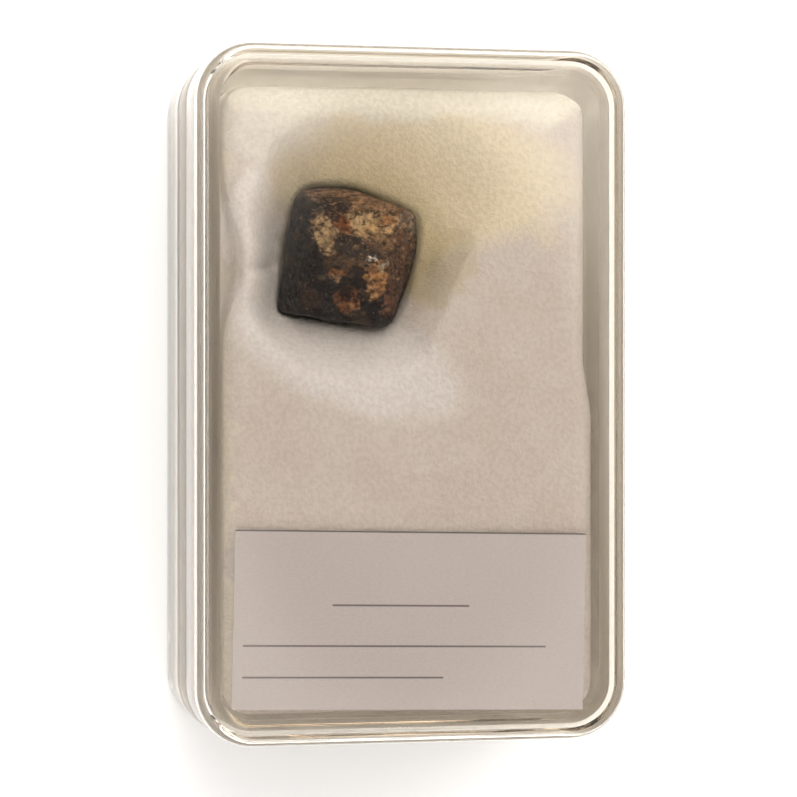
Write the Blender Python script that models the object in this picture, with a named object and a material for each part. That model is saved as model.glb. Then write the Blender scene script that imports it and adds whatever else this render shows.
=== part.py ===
"""A small meteorite pressed into foam in a clear lift-off display box.

Units are metres and +Z is up. The box lies on its back: +Z points out through the lid, +Y runs along the
box towards the end that holds the stone, and the origin is the centre of the underside.
"""

import math

import bmesh
import bpy
from mathutils import Euler, Vector, noise

# Outside of the box
LENGTH = 0.0600
WIDTH = 0.0380
HEIGHT = 0.0185
CORNER_RADIUS = 0.0050
CORNER_STEPS = 6

# Walls of the box, from the outside in: lid skirt, gap, rim of the base
GAP = 0.0003
SKIRT = 0.0010
RIM = 0.0010
FLOOR = 0.0012
PLATE = 0.0012
SEAM_HEIGHT = 0.0130
LID_FILLET = 0.0009
BASE_FILLET = 0.0008
FILLET_STEPS = 3

# Fingernail recess under the seam at the -Y end, parted by a narrow rib
NAIL_WIDTH = 0.0134
NAIL_HEIGHT = 0.0040
NAIL_DEPTH = 0.0005
NAIL_RIB = 0.0022
NAIL_END = 0.0004

# Space inside the walls
WALL = SKIRT + GAP + RIM
INNER_WIDTH = WIDTH - 2 * WALL
INNER_LENGTH = LENGTH - 2 * WALL
PLATE_UNDER = HEIGHT - PLATE

# Card under the lid
CARD_WIDTH = 0.0310
CARD_LENGTH = 0.01535
CARD_THICKNESS = 0.00025
CARD_PLACE = (-0.0001, -0.0195)
CARD_TURN = math.radians(-1.2)
CARD_TOP = PLATE_UNDER - GAP

# Stone: its middle, how it lies, and the flats that bound it
STONE_PLACE = Vector((-0.0049, 0.0121, 0.01245))
STONE_TURN = Euler((0.0, math.radians(-12.2), 0.0))
STONE_STEPS = 5
STONE_SHARPNESS = 24
STONE_LUMP = 0.00016
STONE_LUMP_SIZE = 0.0028
STONE_GRIT = 0.00006
STONE_GRIT_SIZE = 0.0011
STONE_BLANK = 0.0200

# Each flat is a direction and its distance from the stone's middle. x runs to the right, y up the box and
# z out of the lid.
STONE_FLATS = (
    ((-0.986, 0.170, 0.000), 0.00550),
    ((-0.766, 0.643, 0.000), 0.00680),
    ((0.000, 1.000, 0.080), 0.00615),
    ((0.419, 0.908, 0.000), 0.00575),
    ((1.000, 0.050, 0.000), 0.00620),
    ((0.944, -0.330, 0.000), 0.00568),
    ((0.600, -0.800, 0.000), 0.00690),
    ((-0.166, -0.987, 0.000), 0.00572),
    ((-0.750, -0.100, 0.655), 0.00495),
    ((0.160, 0.100, 0.982), 0.00415),
    ((-0.050, -0.450, 0.892), 0.00430),
    ((0.100, 0.795, 0.598), 0.00540),
    ((0.800, -0.150, 0.581), 0.00550),
    ((0.000, 0.000, -1.000), 0.00420),
    ((-0.520, 0.300, -0.800), 0.00510),
    ((0.620, 0.200, -0.759), 0.00500),
    ((0.050, -0.640, -0.767), 0.00500),
)

# Hollows in the face turned to the lid: place across the face, radius and depth
STONE_PITS = (
    ((-0.0004, 0.0031), 0.0011, 0.00040),
    ((0.0002, -0.0036), 0.0010, 0.00042),
    ((0.0042, 0.0030), 0.0008, 0.00022),
    ((0.0021, -0.0010), 0.0009, 0.00024),
    ((-0.0034, -0.0024), 0.0013, 0.00016),
    ((0.0033, -0.0044), 0.0007, 0.00020),
)

# Foam pad: it fills the tray and its upper edges are drawn in from the walls
FOAM_LOW = FLOOR + GAP
FOAM_TOP = CARD_TOP - CARD_THICKNESS - GAP
FOAM_HALF_WIDTH = INNER_WIDTH / 2 - GAP
FOAM_HALF_LENGTH = INNER_LENGTH / 2 - GAP
FOAM_CORNER = 0.0024
FOAM_COLUMNS = 24
FOAM_ROWS = 38
FOAM_EDGE_DROP = 0.0008
FOAM_EDGE_REACH = 0.0018
FOAM_IN_END = 0.0016
FOAM_IN_RIGHT = 0.0007
FOAM_IN_RIGHT_FROM = -0.0020
FOAM_IN_RIGHT_TO = 0.0040
FOAM_PINCH = 0.0020
FOAM_PINCH_Y = 0.0118
FOAM_PINCH_ABOVE = 0.0048
FOAM_PINCH_BELOW = 0.0036

# Rings down the pad's side: share of the drawn-in edge that is left, and height
FOAM_RINGS = ((0.75, 0.0146), (0.35, 0.0122), (0.00, 0.0090), (0.00, FOAM_LOW))

# Dent round the stone: its floor follows the stone's tilt, and its reach is given for every 30 degrees,
# anticlockwise from +X
DENT_HEIGHT = 0.0122
DENT_TILT = 0.20
DENT_REACH = (
    0.0112, 0.0158, 0.0160, 0.0145, 0.0125, 0.0108, 0.0096, 0.0108, 0.0116, 0.0116, 0.0118, 0.0100,
)

# Looks of each piece: colour, roughness and how much light passes through
CLEAR_PLASTIC = ((0.90, 0.88, 0.82, 1.0), 0.06, 1.0)
FOAM = ((0.72, 0.66, 0.56, 1.0), 0.95, 0.0)
CARD = ((0.66, 0.60, 0.58, 1.0), 0.80, 0.0)
STONE = ((0.16, 0.10, 0.07, 1.0), 0.78, 0.0)
PLASTIC_IOR = 1.57


def clear_scene():
    """Removes whatever the scene holds."""
    for thing in list(bpy.data.objects):
        bpy.data.objects.remove(thing, do_unlink=True)


def new_collection(name):
    """A collection of its own, linked to the scene."""
    collection = bpy.data.collections.new(name)
    bpy.context.scene.collection.children.link(collection)
    return collection


def new_material(name, looks):
    """A Principled material from a colour, a roughness and a share of light that passes through."""
    color, roughness, passes = looks
    material = bpy.data.materials.new(name)
    material.use_nodes = True
    shader = material.node_tree.nodes["Principled BSDF"]
    shader.inputs["Base Color"].default_value = color
    shader.inputs["Roughness"].default_value = roughness
    shader.inputs["Metallic"].default_value = 0.0
    shader.inputs["Transmission Weight"].default_value = passes
    shader.inputs["IOR"].default_value = PLASTIC_IOR
    return material


def new_object(name, bm, collection, looks=None):
    """Turns a bmesh into a named object with its faces pointing out."""
    bmesh.ops.recalc_face_normals(bm, faces=bm.faces)
    mesh = bpy.data.meshes.new(name)
    bm.to_mesh(mesh)
    bm.free()
    thing = bpy.data.objects.new(name, mesh)
    collection.objects.link(thing)
    if looks:
        mesh.materials.append(new_material(name, looks))
    return thing


def smooth_shading(thing, degrees=35.0):
    """Shades the round parts smooth and keeps the corners sharp."""
    thing.data.shade_smooth()
    thing.data.set_sharp_from_angle(angle=math.radians(degrees))


def rounded_outline(bm, z):
    """One level face with the outline of the box."""
    corners = bmesh.ops.create_grid(bm, x_segments=1, y_segments=1, size=0.5)["verts"]
    bmesh.ops.scale(bm, vec=(WIDTH, LENGTH, 1.0), verts=corners)
    bmesh.ops.translate(bm, vec=(0.0, 0.0, z), verts=corners)
    bmesh.ops.bevel(
        bm, geom=corners, offset=CORNER_RADIUS, segments=CORNER_STEPS, profile=0.5, affect="VERTICES"
    )
    bm.faces.ensure_lookup_table()
    return bm.faces[0]


def extruded(bm, face, z):
    """Extrudes a level face to the height z and gives back the face at its end."""
    has_neighbours = any(len(edge.link_faces) > 1 for edge in face.edges)
    grown = bmesh.ops.extrude_face_region(bm, geom=[face])["geom"]
    if has_neighbours:
        bmesh.ops.delete(bm, geom=[face], context="FACES_ONLY")
    end = next(item for item in grown if isinstance(item, bmesh.types.BMFace))
    for vert in end.verts:
        vert.co.z = z
    return end


def inset(bm, face, width):
    """Draws a level face in by an even width."""
    bmesh.ops.inset_region(bm, faces=[face], thickness=width, use_even_offset=True)
    return face


def round_edges(bm, z, radius):
    """Rounds the outer edge of the box at the height z."""
    edges = [
        edge for edge in bm.edges
        if all(abs(vert.co.z - z) < GAP / 10 for vert in edge.verts) and len(edge.link_faces) == 2
    ]
    bmesh.ops.bevel(
        bm, geom=edges, offset=radius, segments=FILLET_STEPS, profile=0.5, affect="EDGES"
    )


def nail_cutter(name, side, cutters):
    """A block that cuts one half of the fingernail recess. side is -1 or +1 along X."""
    width = (NAIL_WIDTH - NAIL_RIB) / 2
    depth = 2 * NAIL_DEPTH
    bm = bmesh.new()
    bmesh.ops.create_cube(bm, size=1.0)
    bmesh.ops.scale(bm, vec=(width, depth, NAIL_HEIGHT), verts=bm.verts)
    inner_edges = [
        edge for edge in bm.edges if all(vert.co.y > 0 for vert in edge.verts)
    ]
    bmesh.ops.bevel(bm, geom=inner_edges, offset=NAIL_END, segments=2, profile=0.5, affect="EDGES")
    cutter = new_object(name, bm, cutters)
    cutter.location = (
        side * (NAIL_RIB + width) / 2,
        -LENGTH / 2,
        SEAM_HEIGHT - GAP - NAIL_HEIGHT / 2 + NAIL_END,
    )
    cutter.hide_render = True
    cutter.display_type = "WIRE"
    return cutter


def case_base(collection, cutters):
    """The tray: outer walls up to the seam and a thinner rim that the lid slips over."""
    bm = bmesh.new()
    face = rounded_outline(bm, 0.0)
    face = extruded(bm, face, SEAM_HEIGHT - GAP)
    face = inset(bm, face, SKIRT + GAP)
    face = extruded(bm, face, PLATE_UNDER - GAP)
    face = inset(bm, face, RIM)
    extruded(bm, face, FLOOR)
    round_edges(bm, 0.0, BASE_FILLET)
    base = new_object("case_base", bm, collection, CLEAR_PLASTIC)
    for name, side in (("nail_left", -1), ("nail_right", 1)):
        cut = base.modifiers.new(name, "BOOLEAN")
        cut.operation = "DIFFERENCE"
        cut.solver = "EXACT"
        cut.object = nail_cutter(name, side, cutters)
    smooth_shading(base)


def case_lid(collection):
    """The lid: a flat plate with a skirt all round, open below."""
    bm = bmesh.new()
    face = rounded_outline(bm, HEIGHT)
    face = extruded(bm, face, SEAM_HEIGHT)
    face = inset(bm, face, SKIRT)
    extruded(bm, face, PLATE_UNDER)
    round_edges(bm, HEIGHT, LID_FILLET)
    smooth_shading(new_object("case_lid", bm, collection, CLEAR_PLASTIC))


def label_card(collection):
    """The thin card that lies on the foam, a little askew."""
    bm = bmesh.new()
    bmesh.ops.create_cube(bm, size=1.0)
    bmesh.ops.scale(bm, vec=(CARD_WIDTH, CARD_LENGTH, CARD_THICKNESS), verts=bm.verts)
    card = new_object("label_card", bm, collection, CARD)
    card.location = (*CARD_PLACE, CARD_TOP - CARD_THICKNESS / 2)
    card.rotation_euler = (0.0, 0.0, CARD_TURN)


def stone_radius(direction):
    """Distance from the stone's middle to its skin: flats that meet in softly rounded edges."""
    total = 0.0
    for normal, distance in STONE_FLATS:
        facing = direction.dot(Vector(normal).normalized())
        if facing > 0:
            total += (facing / distance) ** STONE_SHARPNESS
    return total ** (-1.0 / STONE_SHARPNESS)


def stone_pitting(point):
    """How deep the hollows are at a point of the face turned to the lid."""
    if point.z < 0:
        return 0.0
    depth = 0.0
    for place, radius, deepest in STONE_PITS:
        apart = (point.xy - Vector(place)).length
        depth += deepest * math.exp(-((apart / radius) ** 2))
    return depth


def stone_bmesh():
    """The stone about its own middle, with its lumps, grit and hollows."""
    bm = bmesh.new()
    bmesh.ops.create_icosphere(bm, subdivisions=STONE_STEPS, radius=1.0)
    for vert in bm.verts:
        direction = vert.co.normalized()
        point = direction * stone_radius(direction)
        lump = STONE_LUMP * noise.noise(point / STONE_LUMP_SIZE)
        grit = STONE_GRIT * noise.noise(point / STONE_GRIT_SIZE)
        vert.co = point + direction * (lump + grit - stone_pitting(point))
    return bm


def flats_bmesh(spare):
    """The sharp-edged solid that the stone's flats bound, each moved out by a spare width."""
    bm = bmesh.new()
    bmesh.ops.create_cube(bm, size=STONE_BLANK)
    for normal, distance in STONE_FLATS:
        outward = Vector(normal).normalized()
        cut = bmesh.ops.bisect_plane(
            bm,
            geom=bm.verts[:] + bm.edges[:] + bm.faces[:],
            dist=GAP / 1000,
            plane_co=outward * (distance + spare),
            plane_no=outward,
            clear_outer=True,
        )["geom_cut"]
        rim = [item for item in cut if isinstance(item, bmesh.types.BMEdge)]
        bmesh.ops.contextual_create(bm, geom=rim)
    return bm


def meteorite(collection):
    """The stone, tilted in the foam."""
    stone = new_object("meteorite", stone_bmesh(), collection, STONE)
    stone.location = STONE_PLACE
    stone.rotation_euler = STONE_TURN
    smooth_shading(stone, 50.0)


def ease(share):
    """0 below 0, 1 above 1, and smooth between them."""
    share = min(max(share, 0.0), 1.0)
    return share * share * (3.0 - 2.0 * share)


def rounded_corner(x, y):
    """Moves a point of a rectangle so that the rectangle's corners become round."""
    past_x = abs(x) - (FOAM_HALF_WIDTH - FOAM_CORNER)
    past_y = abs(y) - (FOAM_HALF_LENGTH - FOAM_CORNER)
    if past_x <= 0 or past_y <= 0:
        return x, y
    round_x = past_x * math.sqrt(1.0 - 0.5 * (past_y / FOAM_CORNER) ** 2)
    round_y = past_y * math.sqrt(1.0 - 0.5 * (past_x / FOAM_CORNER) ** 2)
    return x - math.copysign(past_x - round_x, x), y - math.copysign(past_y - round_y, y)


def foam_drawn_in(x, y, share):
    """Where a point of the pad goes when this share of the drawn-in edge is applied."""
    reach = FOAM_PINCH_ABOVE if y > FOAM_PINCH_Y else FOAM_PINCH_BELOW
    left = FOAM_PINCH * math.exp(-(((y - FOAM_PINCH_Y) / reach) ** 2))
    rise = (y - FOAM_IN_RIGHT_FROM) / (FOAM_IN_RIGHT_TO - FOAM_IN_RIGHT_FROM)
    right = FOAM_IN_RIGHT * ease(rise)
    side = x / FOAM_HALF_WIDTH
    end = y / FOAM_HALF_LENGTH
    new_x = x + share * (left * (1.0 - side) - right * (1.0 + side)) / 2
    new_y = y - share * FOAM_IN_END * (1.0 + end) / 2
    return new_x, new_y


def dent_reach(angle):
    """How far the dent reaches in one direction from the stone's middle."""
    step = (angle % math.tau) / (math.tau / len(DENT_REACH))
    first = int(step) % len(DENT_REACH)
    after = (first + 1) % len(DENT_REACH)
    share = ease(step - int(step))
    return DENT_REACH[first] * (1.0 - share) + DENT_REACH[after] * share


def foam_height(x, y):
    """Height of the pad's face: level under the lid, lower round the stone."""
    away = Vector((x - STONE_PLACE.x, y - STONE_PLACE.y, 0.0))
    reach = dent_reach(math.atan2(away.y, away.x))
    foot = stone_radius(away.normalized()) + GAP
    rise = ease((away.length - foot) / (reach - foot))
    floor = DENT_HEIGHT + DENT_TILT * min(max(away.x, -foot), foot)
    return floor + (FOAM_TOP - floor) * rise


def edge_drop(x, y):
    """How far the pad's face falls off towards its rounded edge."""
    inside = min(FOAM_HALF_WIDTH - abs(x), FOAM_HALF_LENGTH - abs(y))
    return FOAM_EDGE_DROP * max(0.0, 1.0 - inside / FOAM_EDGE_REACH) ** 2


def foam_pad(collection, cutters):
    """The pad: a shaped face, sides that run out to the walls, and a hollow that fits the stone."""
    bm = bmesh.new()
    bmesh.ops.create_grid(bm, x_segments=FOAM_COLUMNS, y_segments=FOAM_ROWS, size=1.0)
    flat = bm.verts.layers.float_vector.new("flat")
    for vert in bm.verts:
        x, y = rounded_corner(vert.co.x * FOAM_HALF_WIDTH, vert.co.y * FOAM_HALF_LENGTH)
        vert[flat] = (x, y, 0.0)
        new_x, new_y = foam_drawn_in(x, y, 1.0)
        vert.co = (new_x, new_y, foam_height(new_x, new_y) - edge_drop(x, y))
    for share, z in FOAM_RINGS:
        border = [edge for edge in bm.edges if edge.is_boundary]
        grown = bmesh.ops.extrude_edge_only(bm, edges=border)["geom"]
        for vert in (item for item in grown if isinstance(item, bmesh.types.BMVert)):
            x, y, _ = vert[flat]
            vert.co = (*foam_drawn_in(x, y, share), z)
    bmesh.ops.holes_fill(bm, edges=[edge for edge in bm.edges if edge.is_boundary])
    pad = new_object("foam_pad", bm, collection, FOAM)

    hollow = new_object("stone_hollow", flats_bmesh(GAP + STONE_LUMP), cutters)
    hollow.location = STONE_PLACE
    hollow.rotation_euler = STONE_TURN
    hollow.hide_render = True
    hollow.display_type = "WIRE"
    cut = pad.modifiers.new("stone_hollow", "BOOLEAN")
    cut.operation = "DIFFERENCE"
    cut.solver = "EXACT"
    cut.object = hollow
    smooth_shading(pad, 50.0)


def build():
    clear_scene()
    parts = new_collection("meteorite_in_display_box")
    cutters = new_collection("cutters")
    case_base(parts, cutters)
    case_lid(parts)
    foam_pad(parts, cutters)
    label_card(parts)
    meteorite(parts)


build()
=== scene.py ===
# %% [markdown]
# # A small meteorite in its display box
# The real object is a clear plastic box with a lift-off lid. Soft foam fills it, a little stone is
# pressed into the foam, and a plain card lies under the lid. The frame brings the measured solids
# in, and this lesson dresses them: each one is modelled again with finer edges and gets its own
# finish.

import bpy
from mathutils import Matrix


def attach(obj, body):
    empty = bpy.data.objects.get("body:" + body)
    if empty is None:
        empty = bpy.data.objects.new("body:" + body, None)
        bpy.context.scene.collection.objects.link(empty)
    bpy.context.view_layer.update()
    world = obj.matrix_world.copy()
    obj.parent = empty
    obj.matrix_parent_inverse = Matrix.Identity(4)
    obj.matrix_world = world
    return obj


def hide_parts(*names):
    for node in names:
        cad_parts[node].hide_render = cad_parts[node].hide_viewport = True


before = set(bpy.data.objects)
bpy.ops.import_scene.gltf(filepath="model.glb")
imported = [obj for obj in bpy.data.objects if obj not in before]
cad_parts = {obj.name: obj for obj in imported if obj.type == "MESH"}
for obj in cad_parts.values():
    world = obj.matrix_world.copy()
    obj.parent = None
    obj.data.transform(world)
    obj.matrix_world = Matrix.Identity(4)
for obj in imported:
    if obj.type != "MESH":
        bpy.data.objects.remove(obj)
print("solids in the frame:", sorted(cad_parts))

# %% Modules, and the size of the solids
import math

import bmesh
import bpy
from mathutils import Euler, Matrix, Vector, noise

MM = 0.001
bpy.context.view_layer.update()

# %% [markdown]
# An operator acts on all that is selected, and a fresh import leaves the solids selected. So each
# piece starts with nothing selected, and in edit mode the corners, edges or faces are picked in
# code by their place. That is what a hand does with a click.


# %% Helpers for modelling by hand
def nothing_selected():
    """Leaves edit mode and deselects everything."""
    if bpy.context.mode != "OBJECT":
        bpy.ops.object.mode_set(mode="OBJECT")
    bpy.ops.object.select_all(action="DESELECT")


def pick(piece, kind, test):
    """Selects in edit mode the FACE, EDGE or VERT items whose corners all pass the test."""
    bpy.ops.mesh.select_mode(type=kind)
    bpy.ops.mesh.select_all(action="DESELECT")
    mesh = bmesh.from_edit_mesh(piece.data)
    items = {"FACE": mesh.faces, "EDGE": mesh.edges, "VERT": mesh.verts}[kind]
    for item in items:
        corners = [item] if kind == "VERT" else item.verts
        if all(test(corner.co) for corner in corners):
            item.select_set(True)
    bmesh.update_edit_mesh(piece.data)


def select_only(piece):
    """Selects this piece and no other, and makes it the active one."""
    nothing_selected()
    bpy.context.view_layer.objects.active = piece
    piece.select_set(True)


def extrude(height):
    """Extrudes what is selected straight up, or down for a negative height."""
    bpy.ops.mesh.extrude_region_move(TRANSFORM_OT_translate={"value": (0.0, 0.0, height)})


def apply_modifier(piece, kind, **settings):
    """Adds a modifier, sets it up and applies it."""
    select_only(piece)
    modifier = piece.modifiers.new(kind.lower(), kind)
    for name, value in settings.items():
        setattr(modifier, name, value)
    bpy.ops.object.modifier_apply(modifier=modifier.name)


def finish_shape(piece, degrees):
    """Turns the faces outwards, shades the piece smooth up to an angle, and says how big it is."""
    select_only(piece)
    bpy.ops.object.mode_set(mode="EDIT")
    bpy.ops.mesh.select_all(action="SELECT")
    bpy.ops.mesh.normals_make_consistent(inside=False)
    bpy.ops.object.mode_set(mode="OBJECT")
    bpy.ops.object.shade_smooth_by_angle(angle=math.radians(degrees))
    size = [round(side / MM, 2) for side in piece.dimensions]
    print(piece.name, "measures", size, "mm and has", len(piece.data.polygons), "faces")


print("helpers for modelling are ready")

# %% [markdown]
# Finishes are built from shader nodes. Wiring dozens of Math nodes by hand hides the idea behind
# them, so one small class wraps a socket and lets sums and products be written as in plain maths.


# %% A wire that can be reckoned with
class Wire:
    """One output of a shader node. Maths on it adds the Math nodes that do the same."""

    def __init__(self, tree, socket):
        self.tree = tree
        self.socket = socket

    def node(self, kind, inputs, output=0, **settings):
        """Adds a node of any other kind and gives back one of its outputs."""
        made = self.tree.nodes.new("ShaderNode" + kind)
        for name, value in settings.items():
            setattr(made, name, value)
        for name, value in inputs.items():
            if isinstance(value, Wire):
                self.tree.links.new(value.socket, made.inputs[name])
            else:
                made.inputs[name].default_value = value
        return Wire(self.tree, made.outputs[output])

    def maths(self, operation, *values):
        """Adds a Math node that works on these wires and numbers."""
        return self.node("Math", dict(enumerate(values)), operation=operation)

    def __add__(self, other):
        return self.maths("ADD", self, other)

    def __radd__(self, other):
        return self.maths("ADD", other, self)

    def __sub__(self, other):
        return self.maths("SUBTRACT", self, other)

    def __rsub__(self, other):
        return self.maths("SUBTRACT", other, self)

    def __mul__(self, other):
        return self.maths("MULTIPLY", self, other)

    def __rmul__(self, other):
        return self.maths("MULTIPLY", other, self)

    def __truediv__(self, other):
        return self.maths("DIVIDE", self, other)

    def __rtruediv__(self, other):
        return self.maths("DIVIDE", other, self)


print("a wire adds its own Math nodes")


# %% Helpers for finishes
def ramp(wire, low, high, start=0.0, end=1.0):
    """Runs smoothly from start, at low, to end, at high."""
    values = {"Value": wire, "From Min": low, "From Max": high, "To Min": start, "To Max": end}
    return wire.node("MapRange", values, interpolation_type="SMOOTHSTEP")


def blended(share, under, over):
    """The colour under, covered by the colour over where share is 1."""
    return share.node("Mix", {0: share, 6: under, 7: over}, output=2, data_type="RGBA")


def cloud(place, scale, detail=3.0):
    """Soft random cloud with about so many lumps to the millimetre."""
    return place.node("TexNoise", {"Vector": place, "Scale": scale, "Detail": detail})


def sides(place):
    """The three numbers in a place: x, y and z."""
    first = place.node("SeparateXYZ", {0: place})
    parts = first.socket.node.outputs
    return [Wire(place.tree, part) for part in parts]


def bumps(height, depth):
    """A normal that stands for relief of this depth in metres."""
    return height.node("Bump", {"Height": height, "Distance": depth, "Strength": 1.0})


def color(code):
    """A colour from its usual code, as the linear numbers that a shader takes."""
    parts = [int(code[start:start + 2], 16) / 255 for start in (0, 2, 4)]
    return (*(((part + 0.055) / 1.055) ** 2.4 for part in parts), 1.0)


def new_finish(name, middle=(0.0, 0.0, 0.0), turn=(0.0, 0.0, 0.0)):
    """A Principled material, its shader, and places in millimetres about a middle point."""
    material = bpy.data.materials.new(name)
    material.use_nodes = True
    tree = material.node_tree
    shader = tree.nodes["Principled BSDF"]
    coords = Wire(tree, tree.nodes.new("ShaderNodeTexCoord").outputs["Object"])
    values = {"Vector": coords, "Location": middle, "Rotation": turn, "Scale": (MM, MM, MM)}
    place = coords.node("Mapping", values, vector_type="TEXTURE")
    return material, shader, place


def feed(wire, shader, socket):
    """Links a wire to one socket of a shader."""
    wire.tree.links.new(wire.socket, shader.inputs[socket])


def dress(piece, material, solid):
    """Gives the piece its finish, lets it ride on the frame and stand for the solid."""
    piece.data.materials.clear()
    piece.data.materials.append(material)
    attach(piece, "root")
    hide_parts(solid)
    print(piece.name, "stands for", solid)


print("helpers for finishes are ready")

# %% [markdown]
# The camera looks down at the lid from a little to the left, so the left wall shows. Its lens is
# long, and the small shift puts the box where the picture frames it.

# %% The camera
# focal length, width and middle of the view, in pixels
FOCUS = 2896.0
PICTURE = 797.0
VIEW_MIDDLE = (398.0, 394.4)
SENSOR = 36.0
YAW = math.radians(12.2)
DISTANCE = 0.2486
SIDE_STEP = 0.001457
LID_TOP = 0.0185
CLOSEST = 0.01

camera = bpy.data.objects.new("camera", bpy.data.cameras.new("camera"))
bpy.context.scene.collection.objects.link(camera)
camera.data.sensor_width = SENSOR
camera.data.lens = FOCUS / PICTURE * SENSOR
camera.data.shift_x = (PICTURE / 2 - VIEW_MIDDLE[0]) / PICTURE
camera.data.shift_y = (VIEW_MIDDLE[1] - PICTURE / 2) / PICTURE
camera.data.clip_start = CLOSEST
back = Vector((-math.sin(YAW), 0.0, math.cos(YAW)))
right = Vector((math.cos(YAW), 0.0, math.sin(YAW)))
axes = Matrix((right, back.cross(right), back)).transposed().to_4x4()
stand = Vector((0.0, 0.0, LID_TOP)) + back * DISTANCE - right * SIDE_STEP
camera.matrix_world = Matrix.Translation(stand) @ axes
bpy.context.scene.camera = camera
print("camera at", [round(value, 4) for value in stand], "lens", round(camera.data.lens, 1), "mm")

# %% [markdown]
# Clear plastic hides what is inside from lamps, because light reaches it only along paths that
# bend through the lid. A bright sky is found by every such path, so all the light comes from the
# world. It has a soft window towards +Y, which shades the dent, and a weaker one opposite that
# fills the shade. It is dark straight above the lid: a bright patch there would mirror in the flat
# lid and lay a grey veil over the stone.

# %% Light
SKY = (1.00, 1.00, 1.01, 1.0)
WINDOW = (5.6, 5.5, 5.3, 1.0)
WINDOW_SIDE = Vector((0.36, 0.70, 0.62)).normalized()
FILL = (2.6, 2.5, 2.4, 1.0)
FILL_SIDE = Vector((-0.20, -0.72, 0.66)).normalized()
ABOVE = (0.02, 0.02, 0.02, 1.0)
MIRROR_SIDE = Vector((0.21, 0.0, 0.978)).normalized()
# how well a direction has to agree with a side to be at its patch's edge, and in its core
WINDOW_SPREAD = (0.50, 1.0)
FILL_SPREAD = (0.62, 1.0)
ABOVE_SPREAD = (0.845, 0.945)
SKY_STRENGTH = 0.87
BOUNCES = 24
GLOSSY_BOUNCES = 12

scene = bpy.context.scene
scene.view_settings.view_transform = "Standard"
scene.cycles.max_bounces = BOUNCES
scene.cycles.transmission_bounces = BOUNCES
scene.cycles.glossy_bounces = GLOSSY_BOUNCES
scene.world = bpy.data.worlds.new("studio")
scene.world.use_nodes = True
sky_tree = scene.world.node_tree
sky = Wire(sky_tree, sky_tree.nodes.new("ShaderNodeTexCoord").outputs["Generated"])


def towards(side):
    """How well a direction of the sky agrees with this one: 1 where they are the same."""
    return sky.node("VectorMath", {0: sky, 1: side}, output=1, operation="DOT_PRODUCT")


background = sky_tree.nodes["Background"]
sky_color = blended(ramp(towards(WINDOW_SIDE), *WINDOW_SPREAD), SKY, WINDOW)
sky_color = blended(ramp(towards(FILL_SIDE), *FILL_SPREAD), sky_color, FILL)
sky_color = blended(ramp(towards(MIRROR_SIDE), *ABOVE_SPREAD), sky_color, ABOVE)
feed(sky_color, background, "Color")
background.inputs["Strength"].default_value = SKY_STRENGTH
print("the sky has a window towards", [round(part, 2) for part in WINDOW_SIDE])

# %% Floor
FLOOR_SIZE = 3.0
FLOOR_DROP = 0.00005
FLOOR_TINTS = ((0.95, 0.95, 0.95, 1.0), (0.97, 0.97, 0.97, 1.0))

nothing_selected()
bpy.ops.mesh.primitive_plane_add(size=FLOOR_SIZE, location=(0.0, 0.0, -FLOOR_DROP))
floor = bpy.context.object
floor.name = "floor"
floor_material, floor_shader, floor_place = new_finish("floor_paper")
floor_tint = blended(cloud(floor_place, 0.05), *FLOOR_TINTS)
feed(floor_tint, floor_shader, "Base Color")
floor_shader.inputs["Roughness"].default_value = 0.9
floor_shader.inputs["Specular IOR Level"].default_value = 0.1
floor.data.materials.append(floor_material)
print("the floor is", FLOOR_SIZE, "m wide")

# %% [markdown]
# Both halves of the box are mouldings with one rounded outline. A plane is cut to that outline by
# bevelling its four corners. Then it is extruded and inset in turn, from the outside in, just as
# the walls step: that gives even walls that a Boolean of two boxes would not.

# %% Measures of the box
LENGTH = 0.0600
WIDTH = 0.0380
CORNER_RADIUS = 0.0050
CORNER_STEPS = 14
GAP = 0.0003
SKIRT = 0.0010
RIM = 0.0010
TRAY_FLOOR = 0.0012
PLATE_UNDER = 0.0173
SEAM_HEIGHT = 0.0130
LID_FILLET = 0.0009
BASE_FILLET = 0.0008
FINE_EDGE = 0.00012
SHARP_FROM = math.radians(60)
SMOOTH_UP_TO = 30.0
NEAR = 0.00001
print("the box is", WIDTH / MM, "by", LENGTH / MM, "mm")


# %% Helpers for the mouldings
def outline_face(name, z):
    """A level face with the rounded outline of the box, left in edit mode and selected."""
    nothing_selected()
    bpy.ops.mesh.primitive_plane_add(size=1.0, location=(0.0, 0.0, z))
    piece = bpy.context.object
    piece.name = name
    piece.scale = (WIDTH, LENGTH, 1.0)
    bpy.ops.object.transform_apply(location=True, rotation=False, scale=True)
    bpy.ops.object.mode_set(mode="EDIT")
    bpy.ops.mesh.select_all(action="SELECT")
    bpy.ops.mesh.bevel(
        offset=CORNER_RADIUS, segments=CORNER_STEPS, profile=0.5, affect="VERTICES"
    )
    bpy.ops.mesh.select_all(action="SELECT")
    return piece


def round_level(piece, z, radius):
    """Rounds the outer edge that runs round the box at the height z."""
    pick(piece, "EDGE", lambda corner: abs(corner.z - z) < NEAR)
    bpy.ops.mesh.bevel(offset=radius, segments=5, profile=0.5, affect="EDGES")


def soften(piece):
    """Takes the sharpness off the edges of a moulding."""
    settings = {"width": FINE_EDGE, "segments": 2, "angle_limit": SHARP_FROM}
    apply_modifier(piece, "BEVEL", limit_method="ANGLE", **settings)


print("an outline has", CORNER_STEPS, "steps in each corner")

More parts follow.
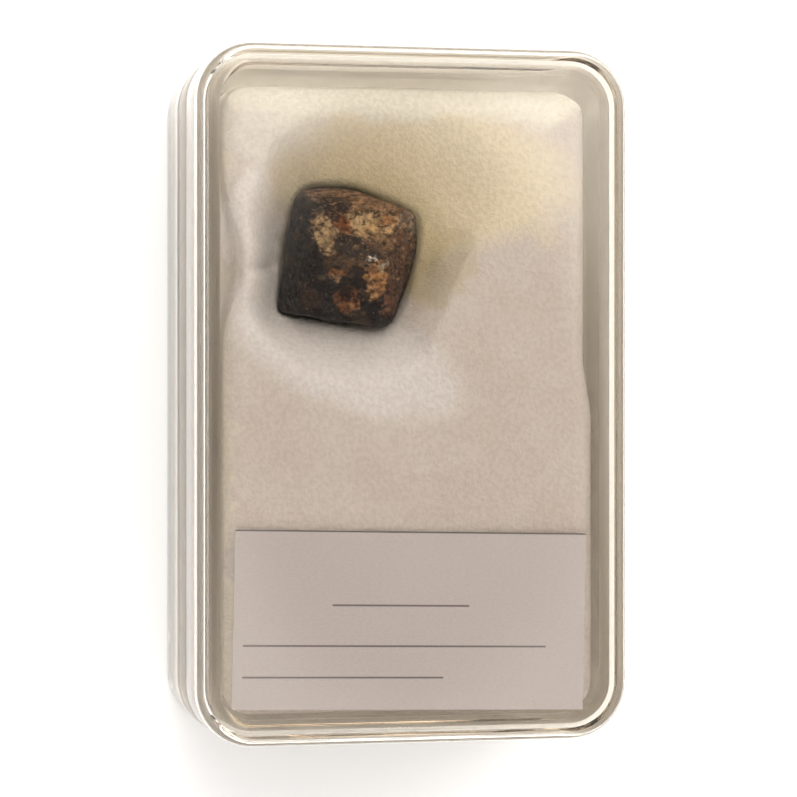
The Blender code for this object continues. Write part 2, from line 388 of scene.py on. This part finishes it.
# %% The tray
tray = outline_face("tray", 0.0)
extrude(SEAM_HEIGHT - GAP)
bpy.ops.mesh.inset(thickness=SKIRT + GAP, use_even_offset=True)
extrude(PLATE_UNDER - SEAM_HEIGHT)
bpy.ops.mesh.inset(thickness=RIM, use_even_offset=True)
extrude(TRAY_FLOOR + GAP - PLATE_UNDER)
round_level(tray, 0.0, BASE_FILLET)
soften(tray)
print("tray:", len(tray.data.vertices), "points before the nail recess")

# %% [markdown]
# Under the seam at the -Y end the real tray has a shallow recess for a fingernail, in two halves.
# Its ends are rounded. A bevelled block is modelled once, and a copy for each half is cut away
# with a Boolean.

# %% The fingernail recess
NAIL_WIDTH = 0.0134
NAIL_HEIGHT = 0.0040
NAIL_DEPTH = 0.0005
NAIL_RIB = 0.0022
NAIL_END = 0.0004
nail_half = (NAIL_WIDTH - NAIL_RIB) / 2
nail_middle = SEAM_HEIGHT - GAP - NAIL_HEIGHT / 2 + NAIL_END

nothing_selected()
bpy.ops.mesh.primitive_cube_add(size=1.0, location=(0.0, -LENGTH / 2, nail_middle))
block = bpy.context.object
block.scale = (nail_half, 2 * NAIL_DEPTH, NAIL_HEIGHT)
bpy.ops.object.transform_apply(location=True, rotation=False, scale=True)
bpy.ops.object.mode_set(mode="EDIT")
pick(block, "EDGE", lambda corner: corner.y > -LENGTH / 2)
bpy.ops.mesh.bevel(offset=NAIL_END, segments=4, profile=0.5, affect="EDGES")
bpy.ops.object.mode_set(mode="OBJECT")
for side in (-1, 1):
    cutter = block.copy()
    cutter.data = block.data.copy()
    cutter.location.x = side * (NAIL_RIB + nail_half) / 2
    bpy.context.scene.collection.objects.link(cutter)
    apply_modifier(tray, "BOOLEAN", operation="DIFFERENCE", solver="EXACT", object=cutter)
    bpy.data.objects.remove(cutter)
bpy.data.objects.remove(block)
finish_shape(tray, SMOOTH_UP_TO)

# %% The lid
lid = outline_face("lid", LID_TOP)
extrude(SEAM_HEIGHT - LID_TOP)
bpy.ops.mesh.inset(thickness=SKIRT, use_even_offset=True)
extrude(PLATE_UNDER - SEAM_HEIGHT)
round_level(lid, LID_TOP, LID_FILLET)
soften(lid)
finish_shape(lid, SMOOTH_UP_TO)

# %% [markdown]
# Clear polystyrene lets nearly all light through and bends it strongly. The whole piece is
# see-through with that index, and a thin absorption in its volume gives the warm tone that a wall
# shows along its edge. Handling leaves faint hairlines, so roughness changes a little from place
# to place, and a very low wave stands for the moulded face.

# %% Clear plastic
PLASTIC_INDEX = 1.57
PLASTIC_WARMTH = (0.66, 0.55, 0.40, 1.0)
PLASTIC_DENSITY = 27.0
TRAY_TINT = (0.970, 0.938, 0.882, 1.0)
LID_TINT = (0.985, 0.965, 0.925, 1.0)
POLISH = 0.010
HAIRLINE_ROUGHNESS = 0.02
MOULD_WAVE = 0.00002


def clear_plastic(name, tint):
    """The finish of one half of the box, with its own slight tint."""
    material, shader, place = new_finish(name)
    shader.inputs["Base Color"].default_value = tint
    shader.inputs["Transmission Weight"].default_value = 1.0
    shader.inputs["IOR"].default_value = PLASTIC_INDEX
    slanted = {"Vector": place, "Scale": (0.25, 2.4, 0.6), "Rotation": (0.0, 0.0, 0.5)}
    hairlines = ramp(cloud(place.node("Mapping", slanted), 2.2, 2.0), 0.55, 0.75)
    feed(POLISH + hairlines * HAIRLINE_ROUGHNESS, shader, "Roughness")
    feed(bumps(cloud(place, 0.12, 1.0), MOULD_WAVE), shader, "Normal")
    absorbing = {"Color": PLASTIC_WARMTH, "Density": PLASTIC_DENSITY}
    volume = place.node("VolumeAbsorption", absorbing)
    feed(volume, material.node_tree.nodes["Material Output"], "Volume")
    return material


dress(tray, clear_plastic("tray_plastic", TRAY_TINT), "case_base")
dress(lid, clear_plastic("lid_plastic", LID_TINT), "case_lid")

# %% [markdown]
# The stone is angular with softly worn edges. Its form is given by flats, each a direction and a
# distance, and a power mean joins them in rounded edges. An icosphere is pushed out to that form:
# even triangles carry the fine relief better than a bevelled block would.

# %% The flats that bound the stone
STONE_PLACE = Vector((-0.0049, 0.0121, 0.01245))
STONE_TURN = Euler((0.0, math.radians(-12.2), 0.0))
STONE_SHARPNESS = 24
STONE_FLATS = (
    ((-0.986, 0.170, 0.000), 0.00550),
    ((-0.766, 0.643, 0.000), 0.00680),
    ((0.000, 1.000, 0.080), 0.00615),
    ((0.419, 0.908, 0.000), 0.00575),
    ((1.000, 0.050, 0.000), 0.00620),
    ((0.944, -0.330, 0.000), 0.00568),
    ((0.600, -0.800, 0.000), 0.00690),
    ((-0.166, -0.987, 0.000), 0.00572),
    ((-0.750, -0.100, 0.655), 0.00495),
    ((0.160, 0.100, 0.982), 0.00415),
    ((-0.050, -0.450, 0.892), 0.00430),
    ((0.100, 0.795, 0.598), 0.00540),
    ((0.800, -0.150, 0.581), 0.00550),
    ((0.000, 0.000, -1.000), 0.00420),
    ((-0.520, 0.300, -0.800), 0.00510),
    ((0.620, 0.200, -0.759), 0.00500),
    ((0.050, -0.640, -0.767), 0.00500),
)
FLATS = [(Vector(normal).normalized(), distance) for normal, distance in STONE_FLATS]


def stone_radius(direction):
    """How far the stone's skin is from its middle in one direction."""
    total = 0.0
    for normal, distance in FLATS:
        facing = direction.dot(normal)
        if facing > 0:
            total += (facing / distance) ** STONE_SHARPNESS
    return total ** (-1.0 / STONE_SHARPNESS)


print("the stone is bounded by", len(FLATS), "flats")

# %% [markdown]
# The face turned to the lid has shallow hollows, each a soft round dip. Over the whole stone lie
# lumps, grit and fine grain, each smaller and lower than the last, and tiny pits where grains fell
# out. The relief is in the mesh, so it also shows on the outline.

# %% The stone
# middle of each hollow across and up the face, its radius and its depth
STONE_PITS = (
    ((-0.0004, 0.0031), 0.0011, 0.00040),
    ((0.0002, -0.0036), 0.0010, 0.00042),
    ((0.0042, 0.0030), 0.0008, 0.00022),
    ((0.0021, -0.0010), 0.0009, 0.00024),
    ((-0.0034, -0.0024), 0.0013, 0.00016),
    ((0.0033, -0.0044), 0.0007, 0.00020),
)
# size and height of lumps, grit, fine grain and finer grain
STONE_RELIEF = ((0.0028, 0.00016), (0.0011, 0.00006), (0.00052, 0.000060), (0.00022, 0.000025))
LOST_SIZE = 0.0006
LOST_DEPTH = 0.00010
LOST_FROM = 0.32
LOST_SHIFT = Vector((7.0, 3.0, 1.0))


def pitting(point):
    """Depth of the hollows at a point of the upper face."""
    if point.z < 0:
        return 0.0
    return sum(
        deepest * math.exp(-(((point.xy - Vector(place)).length / radius) ** 2))
        for place, radius, deepest in STONE_PITS
    )


def relief(point):
    """Height of lumps, grit, fine grain and lost grains at a point of the skin."""
    rough = sum(height * noise.noise(point / size) for size, height in STONE_RELIEF)
    return rough - LOST_DEPTH * max(0.0, noise.noise(point / LOST_SIZE + LOST_SHIFT) - LOST_FROM)


nothing_selected()
bpy.ops.mesh.primitive_ico_sphere_add(subdivisions=7, radius=1.0)
stone = bpy.context.object
stone.name = "stone"
for vert in stone.data.vertices:
    direction = vert.co.normalized()
    skin = direction * stone_radius(direction)
    vert.co = skin + direction * (relief(skin) - pitting(skin))
stone.rotation_euler = STONE_TURN
stone.location = STONE_PLACE
bpy.ops.object.transform_apply(location=True, rotation=True, scale=True)
finish_shape(stone, 60.0)

# %% [markdown]
# The stone's colours are patchy: a dark crust on the left and below, tan and rusty patches where
# the crust is gone, and a few pale grains. The brown strip on the upper right face is its own
# brown, painted darker as a shaded side, and one small near-white patch is a painted highlight.
# A stack of soft ellipses on the face, in its own millimetres, puts each patch where it belongs.
# Noise bends their edges, so that none looks drawn.

# %% Colours of the stone
CRUST = "3A3434"
CRUST_DEEP = "1C1818"
OLD_CRUST = "4E3B2E"
# share of a patch's reach, squared, where it starts to fade and where it ends
PATCH_EDGE = (0.55, 1.5)
STONE_PATCHES = (
    # middle across and up the face, reach across and up, turn in degrees, colour, cover
    ((1.7, 1.5), (4.3, 3.3), -18.0, "6A5240", 0.95),
    ((2.0, 5.0), (4.6, 1.5), -14.0, "9A7558", 0.90),
    ((-2.2, 5.3), (1.7, 0.8), -10.0, "8A6850", 0.80),
    ((-1.75, 1.7), (0.90, 1.7), 12.0, "BFA078", 0.95),
    ((2.5, 2.5), (2.3, 1.25), -6.0, "CFAA7A", 1.00),
    ((1.4, 2.9), (0.9, 0.7), 30.0, "D2B48A", 0.90),
    ((3.4, 1.2), (1.6, 0.7), -12.0, "8E6C50", 0.85),
    ((-1.0, 4.3), (1.5, 0.85), -20.0, "2E1C13", 1.00),
    ((-0.5, 3.2), (0.5, 0.5), 0.0, "4A2A1A", 0.90),
    ((-0.2, 2.4), (0.62, 0.85), 15.0, "8E5230", 0.80),
    ((3.5, 2.9), (0.70, 0.42), 10.0, "A5683F", 0.75),
    ((2.3, 3.6), (1.5, 0.16), -8.0, "3A281D", 0.90),
    ((5.3, 2.7), (0.70, 1.10), 8.0, "A89A88", 0.85),
    ((5.2, 1.3), (0.30, 0.22), 10.0, "DCD2C2", 1.00),
    ((0.2, 0.8), (1.2, 1.0), -25.0, "3E342F", 1.00),
    ((1.6, 0.1), (1.5, 0.5), -8.0, "4C3F38", 0.90),
    # partly painted shade: the upper right face's brown, painted darker as a shaded side
    ((4.6, -1.0), (0.95, 4.4), -8.0, "66493A", 0.85),
    ((2.6, -2.2), (0.90, 1.7), -8.0, "B98657", 0.95),
    ((2.3, -2.9), (0.45, 0.9), 5.0, "D0A274", 0.85),
    # painted highlight: a small near-white glint on the face
    ((2.2, -0.45), (0.55, 0.22), 5.0, "F2EBDD", 1.00),
    ((3.3, -1.0), (0.30, 0.55), -20.0, "CDBBA0", 1.00),
    ((-0.8, -1.6), (0.75, 0.30), 12.0, "A06E4A", 0.85),
    ((-0.8, -2.1), (0.42, 0.25), 0.0, "C09A74", 0.80),
    ((-2.0, -1.9), (0.8, 0.28), 5.0, "6E6258", 0.60),
    ((0.2, -3.9), (1.15, 1.00), 0.0, "8A5A3C", 0.90),
    ((0.8, -4.4), (0.55, 0.35), 25.0, "B07C54", 0.80),
    ((0.1, -3.5), (0.62, 0.55), 0.0, "2A1812", 1.00),
    ((1.2, -2.0), (0.6, 0.9), -10.0, "241A17", 0.90),
    ((3.6, -4.3), (0.40, 0.9), -20.0, "8A6250", 0.75),
    ((2.6, -4.6), (0.6, 0.5), 0.0, "1E1817", 0.85),
    ((-3.9, -2.6), (0.7, 0.35), 30.0, "54453C", 0.50),
)


def patch(x, y, middle, reach, turn):
    """1 inside a turned ellipse on the face and 0 outside, with a soft edge."""
    turn = math.radians(turn)
    across = (x - middle[0]) * math.cos(turn) + (y - middle[1]) * math.sin(turn)
    upward = (y - middle[1]) * math.cos(turn) - (x - middle[0]) * math.sin(turn)
    across = across / reach[0]
    upward = upward / reach[1]
    return ramp(across * across + upward * upward, *PATCH_EDGE, 1.0, 0.0)


print("a patch fades out at", round(math.sqrt(PATCH_EDGE[1]), 2), "times its reach")

# %% Patches on the stone
stone_material, stone_shader, stone_spot = new_finish("weathered_stone", STONE_PLACE, STONE_TURN)
x, y, z = sides(stone_spot)
wander = cloud(stone_spot, 1.3, 6.0) - 0.5
shake = cloud(stone_spot, 3.4, 6.0) - 0.5
x_bent = x + wander * 1.8 + shake * 1.1
y_bent = y + shake * 1.3 - wander * 0.9
front = ramp(z, 0.2, 1.8)
specks = ramp(cloud(stone_spot, 3.2, 6.0), 0.42, 0.66)
stone_color = blended(specks, color(CRUST_DEEP), color(CRUST))
old_crust = ramp(cloud(stone_spot, 0.45, 5.0), 0.53, 0.64) * 0.6
stone_color = blended(old_crust, stone_color, color(OLD_CRUST))
streaked = stone_spot.node("Mapping", {"Vector": stone_spot, "Scale": (1.0, 1.6, 1.0)})
streaks = cloud(streaked, 1.7, 5.0)
ragged = ramp(streaks, 0.36, 0.47, 0.30, 1.0)
for middle, reach, turn, code, cover in STONE_PATCHES:
    mask = patch(x_bent, y_bent, middle, reach, turn) * front * ragged * cover
    stone_color = blended(mask, stone_color, color(code))
print("the stone has", len(STONE_PATCHES), "patches on its face")

# %% [markdown]
# Close up every patch is a mix of grains. Small pale and dark specks go over all the colours,
# hollow places hold dark dust, and the roughness changes from spot to spot, so that the sheen is
# uneven. A last fine bump adds the sugar-like grain that is too small for the mesh.

# %% Grain of the stone
SHADED = (0.50, 0.47, 0.45, 1.0)
LIT = (1.28, 1.24, 1.20, 1.0)
DARK_STREAK = "2C1E16"
LIGHT_STREAK = "C79A6E"
PALE_GRAIN = "D8C2A2"
DUST = "17110E"
GRAIN_RELIEF = 0.00030
fine = cloud(stone_spot, 3.6, 6.0)
bare = ramp(x * 0.8 + y + wander * 2.0, -0.8, 1.6) * front
dark_streaks = ramp(streaks, 0.37, 0.46, 1.0, 0.0) * (0.25 + bare * 0.35)
light_streaks = ramp(streaks, 0.57, 0.66) * (0.06 + bare * 0.40)
pale = ramp(fine, 0.59, 0.72) * (0.14 + bare * 0.26)
dusty = ramp(fine, 0.33, 0.45, 1.0, 0.0) * 0.50
stone_color = blended(dark_streaks, stone_color, color(DARK_STREAK))
stone_color = blended(light_streaks, stone_color, color(LIGHT_STREAK))
stone_color = blended(pale, stone_color, color(PALE_GRAIN))
stone_color = blended(dusty, stone_color, color(DUST))
uneven = blended(ramp(cloud(stone_spot, 1.9, 6.0), 0.34, 0.66), SHADED, LIT)
both = {0: 1.0, 6: stone_color, 7: uneven}
stone_color = uneven.node("Mix", both, output=2, data_type="RGBA", blend_type="MULTIPLY")
feed(stone_color, stone_shader, "Base Color")
feed(ramp(cloud(stone_spot, 1.8, 4.0), 0.35, 0.65, 0.50, 0.80), stone_shader, "Roughness")
grain_height = fine + streaks * 1.4 + cloud(stone_spot, 9.0, 3.0) * 0.35
feed(bumps(grain_height, GRAIN_RELIEF), stone_shader, "Normal")
stone_shader.inputs["Specular IOR Level"].default_value = 0.45
dress(stone, stone_material, "meteorite")

# %% [markdown]
# The foam is one soft pad that fills the tray. Its upper edges are drawn in from the walls, and
# the stone presses a wide dent into it. A grid is extruded down in rings, like a cloth over a
# block, and then each point is moved by the same rules that shaped the solid. Finer folds are
# added, and a rounder shoulder at the +Y end.

# %% Measures of the foam
FOAM_LOW = 0.0015
FOAM_TOP = 0.01645
FOAM_HALF_WIDTH = 0.0164
FOAM_HALF_LENGTH = 0.0274
FOAM_CORNER = 0.0024
FOAM_EDGE_DROP = 0.0008
FOAM_EDGE_REACH = 0.0018
FOAM_IN_END = 0.0010
FOAM_SHOULDER = 0.0012
FOAM_SHOULDER_REACH = 0.0032
FOAM_IN_RIGHT = 0.0007
FOAM_RIGHT_START = -0.0020
FOAM_RIGHT_RUN = 0.0060
FOAM_PINCH = 0.0020
FOAM_PINCH_Y = 0.0118
FOAM_PINCH_BELOW = 0.0036
FOAM_PINCH_ABOVE = 0.0048
DENT_HEIGHT = 0.0122
DENT_TILT = 0.20
DENT_REACH = (
    0.0112, 0.0158, 0.0160, 0.0145, 0.0125, 0.0108, 0.0096, 0.0108, 0.0116, 0.0116, 0.0118, 0.0100,
)
# share of the drawn-in edge that is left, and height, from the face down
FOAM_RINGS = (
    (1.00, 0.0), (0.96, 0.01515), (0.88, 0.0150), (0.75, 0.0145), (0.55, 0.0134), (0.35, 0.0122),
    (0.15, 0.0106), (0.0, 0.0090), (0.0, 0.0050), (0.0, FOAM_LOW),
)
# start and end of each fold, its width, and its height, which is below 0 for a crease
FOAM_FOLDS = (
    ((-0.0150, 0.0106), (-0.0106, 0.0116), 0.00055, -0.00080),
    ((-0.0148, 0.0094), (-0.0110, 0.0102), 0.00090, 0.00045),
    ((-0.0150, 0.0079), (-0.0112, 0.0066), 0.00080, -0.00045),
    ((0.0016, 0.0080), (0.0098, 0.0146), 0.00150, 0.00075),
    ((0.0000, 0.0064), (0.0064, 0.0016), 0.00100, 0.00042),
    ((0.0012, 0.0128), (0.0060, 0.0142), 0.00110, -0.00060),
    ((0.0022, 0.0120), (0.0020, 0.0080), 0.00110, -0.00050),
    ((-0.0105, 0.0185), (-0.0135, 0.0225), 0.00160, -0.00035),
)
print("the foam is", round((FOAM_TOP - FOAM_LOW) / MM, 2), "mm thick")


# %% Outline of the foam
def ease(share):
    """0 below 0, 1 above 1, and smooth between them."""
    share = min(max(share, 0.0), 1.0)
    return share * share * (3.0 - 2.0 * share)


def rounded_corner(x, y):
    """Draws the corners of a rectangle in to round ones."""
    past_x = abs(x) - (FOAM_HALF_WIDTH - FOAM_CORNER)
    past_y = abs(y) - (FOAM_HALF_LENGTH - FOAM_CORNER)
    if past_x <= 0 or past_y <= 0:
        return x, y
    round_x = past_x * math.sqrt(1.0 - 0.5 * (past_y / FOAM_CORNER) ** 2)
    round_y = past_y * math.sqrt(1.0 - 0.5 * (past_x / FOAM_CORNER) ** 2)
    return x - math.copysign(past_x - round_x, x), y - math.copysign(past_y - round_y, y)


def drawn_in(x, y, share):
    """Moves a point in from the walls by this share of the full amount."""
    reach = FOAM_PINCH_ABOVE if y > FOAM_PINCH_Y else FOAM_PINCH_BELOW
    left = FOAM_PINCH * math.exp(-(((y - FOAM_PINCH_Y) / reach) ** 2))
    right = FOAM_IN_RIGHT * ease((y - FOAM_RIGHT_START) / FOAM_RIGHT_RUN)
    side = x / FOAM_HALF_WIDTH
    end = y / FOAM_HALF_LENGTH
    new_x = x + share * (left * (1.0 - side) - right * (1.0 + side)) / 2
    return new_x, y - share * FOAM_IN_END * (1.0 + end) / 2


pinched_x, _ = drawn_in(-FOAM_HALF_WIDTH, FOAM_PINCH_Y, 1.0)
print("the pinch draws the left side in by", round((pinched_x + FOAM_HALF_WIDTH) / MM, 2), "mm")


# %% Dent and folds
def dent_reach(angle):
    """How far the dent reaches from the stone's middle in one direction."""
    step = (angle % math.tau) / (math.tau / len(DENT_REACH))
    first = int(step) % len(DENT_REACH)
    share = ease(step - int(step))
    return DENT_REACH[first] * (1 - share) + DENT_REACH[(first + 1) % len(DENT_REACH)] * share


def dented(x, y):
    """Height of the foam's face with the dent in it."""
    away = Vector((x - STONE_PLACE.x, y - STONE_PLACE.y, 0.0))
    reach = dent_reach(math.atan2(away.y, away.x))
    foot = stone_radius(away.normalized()) + GAP
    low = DENT_HEIGHT + DENT_TILT * min(max(away.x, -foot), foot)
    return low + (FOAM_TOP - low) * ease((away.length - foot) / (reach - foot))


def folds(x, y):
    """Height of the folds and creases at a place."""
    height = 0.0
    here = Vector((x, y))
    for start, end, width, tall in FOAM_FOLDS:
        run = Vector(end) - Vector(start)
        share = min(max((here - Vector(start)).dot(run) / run.length_squared, 0.0), 1.0)
        apart = (here - Vector(start) - run * share).length
        taper = 0.35 + 0.65 * math.sin(math.pi * min(max(share, 0.05), 0.95))
        height += tall * taper * math.exp(-((apart / width) ** 2))
    return height


print("the dent reaches", round(max(DENT_REACH) / MM, 1), "mm from the stone's middle")

# %% [markdown]
# Beside the stone the foam's face rolls down a little, as soft foam does round anything hard that
# is pressed into it. Under the stone it stays clear of the stone's skin, so that the two never
# cut.

# %% The foam's face round the stone
FOAM_CLEAR = 0.00008
FOAM_ROLL = 0.0010
FOAM_ROLL_REACH = 0.0009
FOAM_SWELL = 0.00010
FOAM_SWELL_SIZE = 0.0045
FOAM_PROUD = 0.00003
LEVEL = 1e-6
TURNED_FLATS = [(normal.copy(), distance + FOAM_CLEAR) for normal, distance in FLATS]
for normal, _ in TURNED_FLATS:
    normal.rotate(STONE_TURN)


def under_stone(x, y):
    """Height of the stone's underside over a place, or None beside the stone."""
    low, high = -1.0, 1.0
    for normal, distance in TURNED_FLATS:
        left = distance - normal.x * (x - STONE_PLACE.x) - normal.y * (y - STONE_PLACE.y)
        if normal.z < -LEVEL:
            low = max(low, left / normal.z)
        elif normal.z > LEVEL:
            high = min(high, left / normal.z)
        elif left < 0:
            return None
    return STONE_PLACE.z + low if low < high else None


def stone_gap(x, y, z):
    """How far a point is from the stone's skin, below 0 inside it."""
    spot = Vector((x, y, z)) - STONE_PLACE
    spot.rotate(STONE_TURN.to_matrix().inverted())
    return spot.length - stone_radius(spot.normalized())


def foam_face(x, y):
    """Height of the foam's face: dent, folds, a little unevenness, and a roll under the stone."""
    swell = FOAM_SWELL * noise.noise(Vector((x, y, 0.0)) / FOAM_SWELL_SIZE)
    height = min(dented(x, y) + folds(x, y) + swell, FOAM_TOP + FOAM_PROUD)
    gap = stone_gap(x, y, height)
    if gap < FOAM_CLEAR:
        stone_low = under_stone(x, y)
        return height - FOAM_ROLL if stone_low is None else min(height - FOAM_ROLL, stone_low)
    return height - FOAM_ROLL * max(0.0, 1.0 - gap / FOAM_ROLL_REACH) ** 2


dent_depth = FOAM_TOP - foam_face(STONE_PLACE.x, STONE_PLACE.y - 0.0066)
print("the dent is", round(dent_depth / MM, 2), "mm deep by the stone")

# %% The foam pad
FOAM_STEPS = (170, 270)

nothing_selected()
bpy.ops.mesh.primitive_grid_add(
    x_subdivisions=FOAM_STEPS[0], y_subdivisions=FOAM_STEPS[1], size=1.0
)
foam = bpy.context.object
foam.name = "foam"
foam.scale = (2 * FOAM_HALF_WIDTH, 2 * FOAM_HALF_LENGTH, 1.0)
bpy.ops.object.transform_apply(location=False, rotation=False, scale=True)
bpy.ops.object.mode_set(mode="EDIT")
bpy.ops.mesh.select_mode(type="EDGE")
bpy.ops.mesh.select_all(action="DESELECT")
bpy.ops.mesh.select_non_manifold()
for ring in FOAM_RINGS[1:]:
    bpy.ops.mesh.extrude_edges_move(TRANSFORM_OT_translate={"value": (0.0, 0.0, -1.0)})
bpy.ops.mesh.edge_face_add()
bpy.ops.object.mode_set(mode="OBJECT")
for vert in foam.data.vertices:
    ring = round(-vert.co.z)
    share, height = FOAM_RINGS[ring]
    flat_x, flat_y = rounded_corner(vert.co.x, vert.co.y)
    new_x, new_y = drawn_in(flat_x, flat_y, share)
    if ring == 0:
        inside = min(FOAM_HALF_WIDTH - abs(flat_x), FOAM_HALF_LENGTH - abs(flat_y))
        drop = FOAM_EDGE_DROP * max(0.0, 1.0 - inside / FOAM_EDGE_REACH) ** 2
        from_end = FOAM_HALF_LENGTH - flat_y
        shoulder = FOAM_SHOULDER * max(0.0, 1.0 - from_end / FOAM_SHOULDER_REACH) ** 2
        height = foam_face(new_x, new_y) - max(drop, shoulder)
    vert.co = (new_x, new_y, height)
finish_shape(foam, 75.0)

# %% [markdown]
# Foam is full of tiny cells, so it has no gloss and a fine mottled grain. Painted shade tints the
# foam yellow low in the dent and down its sides, most of all on the slope above the stone that
# faces away from the light. It fades out at the +Y end, and the open face stays pale. Pale
# patches are painted light on lit slopes round the stone, on the left side and along the far
# edge, and darker patches are painted shade beside the stone. The tint follows height and place
# on the pad, and the cells are a bump of Voronoi cells and noise.

# %% Foam finish
FOAM_BASE = ("E0D4CE", "E4DAD5")
FOAM_SHADE_YELLOW = "ECDAB4"
FOAM_MOTTLE = "A8977E"
FOAM_CELLS = 4.5
CELL_RELIEF = 0.00010
# pale patches of painted light and darker patches of painted shade on the foam
FOAM_PAINTED_LIGHT_AND_SHADE = (
    # middle across and along the pad, reach, turn in degrees, colour, cover
    # painted light: the slope below the stone that faces the light
    ((-5.8, 3.8), (10.4, 4.8), -24.0, "F6F1F2", 0.85),
    # painted light: the slope left of the stone
    ((-13.2, 14.5), (2.6, 5.5), 4.0, "F8F2F1", 0.85),
    # painted light: a pale wash over the slope above the stone
    ((1.5, 19.5), (13.0, 6.5), -8.0, "FBEDD2", 0.85),
    # painted shade: the dark valley right of the stone
    ((3.2, 11.0), (2.6, 3.6), -30.0, "D5C8A6", 0.55),
    ((-11.5, 22.8), (5.0, 2.6), 0.0, "F4EEE6", 0.70),
    # painted light: the bright cream band along the far edge
    ((-0.5, 27.0), (19.0, 3.4), 0.0, "FBF5E8", 0.90),
    # painted light: the left side, which lies in shade, painted paler
    ((-17.4, -4.0), (1.6, 34.0), 0.0, "F1E8DA", 0.80),
    # painted shade: an olive ring round the stone, whose middle the stone hides
    ((-3.5, 13.1), (6.5, 6.3), -10.0, "A38E58", 0.60),
)

foam_material, foam_shader, foam_spot = new_finish("soft_foam")
x, y, z = sides(foam_spot)
# painted shade: yellow low in the dent and down the sides, most on the slope above the stone, none
# at the +Y end
sunk = ramp(z, 12.6, 16.3, 1.0, 0.0)
above = ramp(y + x * 0.35, 9.0, 16.0)
yellow_shade = sunk * (0.10 + above * 0.90) * ramp(y, 22.5, 25.5, 1.0, 0.0)
haze = cloud(foam_spot, 0.22, 3.0)
mottle = cloud(foam_spot, 2.6, 4.0)
x_bent = x + (haze - 0.5) * 6.0
y_bent = y - (haze - 0.5) * 5.0
foam_color = blended(ramp(haze, 0.35, 0.65), *map(color, FOAM_BASE))
# lays the painted light and painted shade on the foam
for middle, reach, turn, code, cover in FOAM_PAINTED_LIGHT_AND_SHADE:
    mask = patch(x_bent, y_bent, middle, reach, turn) * cover
    foam_color = blended(mask, foam_color, color(code))
# lays the painted yellowish shade over the foam
foam_color = blended(yellow_shade * 0.70, foam_color, color(FOAM_SHADE_YELLOW))
foam_color = blended(ramp(mottle, 0.35, 0.62, 0.16, 0.0), foam_color, color(FOAM_MOTTLE))
feed(foam_color, foam_shader, "Base Color")
foam_shader.inputs["Roughness"].default_value = 0.95
foam_shader.inputs["Specular IOR Level"].default_value = 0.15
cells = foam_spot.node("TexVoronoi", {"Vector": foam_spot, "Scale": FOAM_CELLS})
feed(bumps(cells * 0.4 + mottle, CELL_RELIEF), foam_shader, "Normal")
dress(foam, foam_material, "foam_pad")

# %% [markdown]
# The card is a cut strip of thick paper that the lid holds down on the foam. It is a plane with
# its corners bevelled, extruded down by its thickness. A last fine bevel rounds its cut edges, so
# that they catch a line of light or shade, as real ones do.

# %% The card
CARD_WIDTH = 0.0310
CARD_LENGTH = 0.01535
CARD_THICKNESS = 0.00025
CARD_CORNER = 0.00018
CARD_EDGE = 0.00003
CARD_PLACE = (-0.0001, -0.0195)
CARD_TURN = math.radians(-1.2)
CARD_TOP = 0.0170

nothing_selected()
bpy.ops.mesh.primitive_plane_add(size=1.0)
card = bpy.context.object
card.name = "card"
card.scale = (CARD_WIDTH, CARD_LENGTH, 1.0)
bpy.ops.object.transform_apply(location=False, rotation=False, scale=True)
bpy.ops.object.mode_set(mode="EDIT")
bpy.ops.mesh.select_all(action="SELECT")
bpy.ops.mesh.bevel(offset=CARD_CORNER, segments=3, affect="VERTICES")
bpy.ops.mesh.select_all(action="SELECT")
extrude(-CARD_THICKNESS)
bpy.ops.object.mode_set(mode="OBJECT")
apply_modifier(card, "BEVEL", width=CARD_EDGE, segments=2, limit_method="ANGLE")
card.rotation_euler = (0.0, 0.0, CARD_TURN)
card.location = (*CARD_PLACE, CARD_TOP)
bpy.ops.object.transform_apply(location=True, rotation=True, scale=True)
finish_shape(card, 40.0)

# %% [markdown]
# Plain card is dull and slightly fibrous. Three thin write-in rules are all that is on it. Each
# rule is a band in the card's own millimetres, so it stays sharp at any distance. The cut edge at
# the far end is darker, because it lies in the shade of the lid.

# %% Card finish
RULES = (
    # height on the card, left end, right end
    (1.3, -6.9, 5.1),
    (-2.2, -14.6, 12.0),
    (-4.9, -14.6, 2.9),
)

CARD_BASE = ("CFC6C6", "D7CFD0")
RULE_INK = "4A4644"
CUT_EDGE = "3E3936"
RULE_EDGE = (0.05, 0.11)
RULE_END = 0.05
CUT_WIDTH = (0.16, 0.06)
FIBRE_RELIEF = 0.00002

card_material, card_shader, card_spot = new_finish(
    "plain_card", (*CARD_PLACE, 0.0), (0.0, 0.0, CARD_TURN)
)
u, v, _ = sides(card_spot)
stretched = card_spot.node("Mapping", {"Vector": card_spot, "Scale": (1.0, 3.0, 1.0)})
fibres = cloud(stretched, 3.0, 5.0)
card_color = blended(ramp(fibres, 0.3, 0.7), *map(color, CARD_BASE))
for height, left, right_end in RULES:
    apart = v - height
    band = ramp(apart.maths("ABSOLUTE", apart), *RULE_EDGE, 1.0, 0.0)
    ends = ramp(u, left - RULE_END, left) * ramp(u, right_end, right_end + RULE_END, 1.0, 0.0)
    card_color = blended(band * ends * 0.75, card_color, color(RULE_INK))
card_end = CARD_LENGTH / MM / 2
cut_edge = ramp(v, card_end - CUT_WIDTH[0], card_end - CUT_WIDTH[1])
card_color = blended(cut_edge * 0.8, card_color, color(CUT_EDGE))
feed(card_color, card_shader, "Base Color")
card_shader.inputs["Roughness"].default_value = 0.8
card_shader.inputs["Specular IOR Level"].default_value = 0.25
feed(bumps(fibres, FIBRE_RELIEF), card_shader, "Normal")
dress(card, card_material, "label_card")

# %% [markdown]
# Last, the scene is brought up to date.

# %% Bring the scene up to date
bpy.context.view_layer.update()
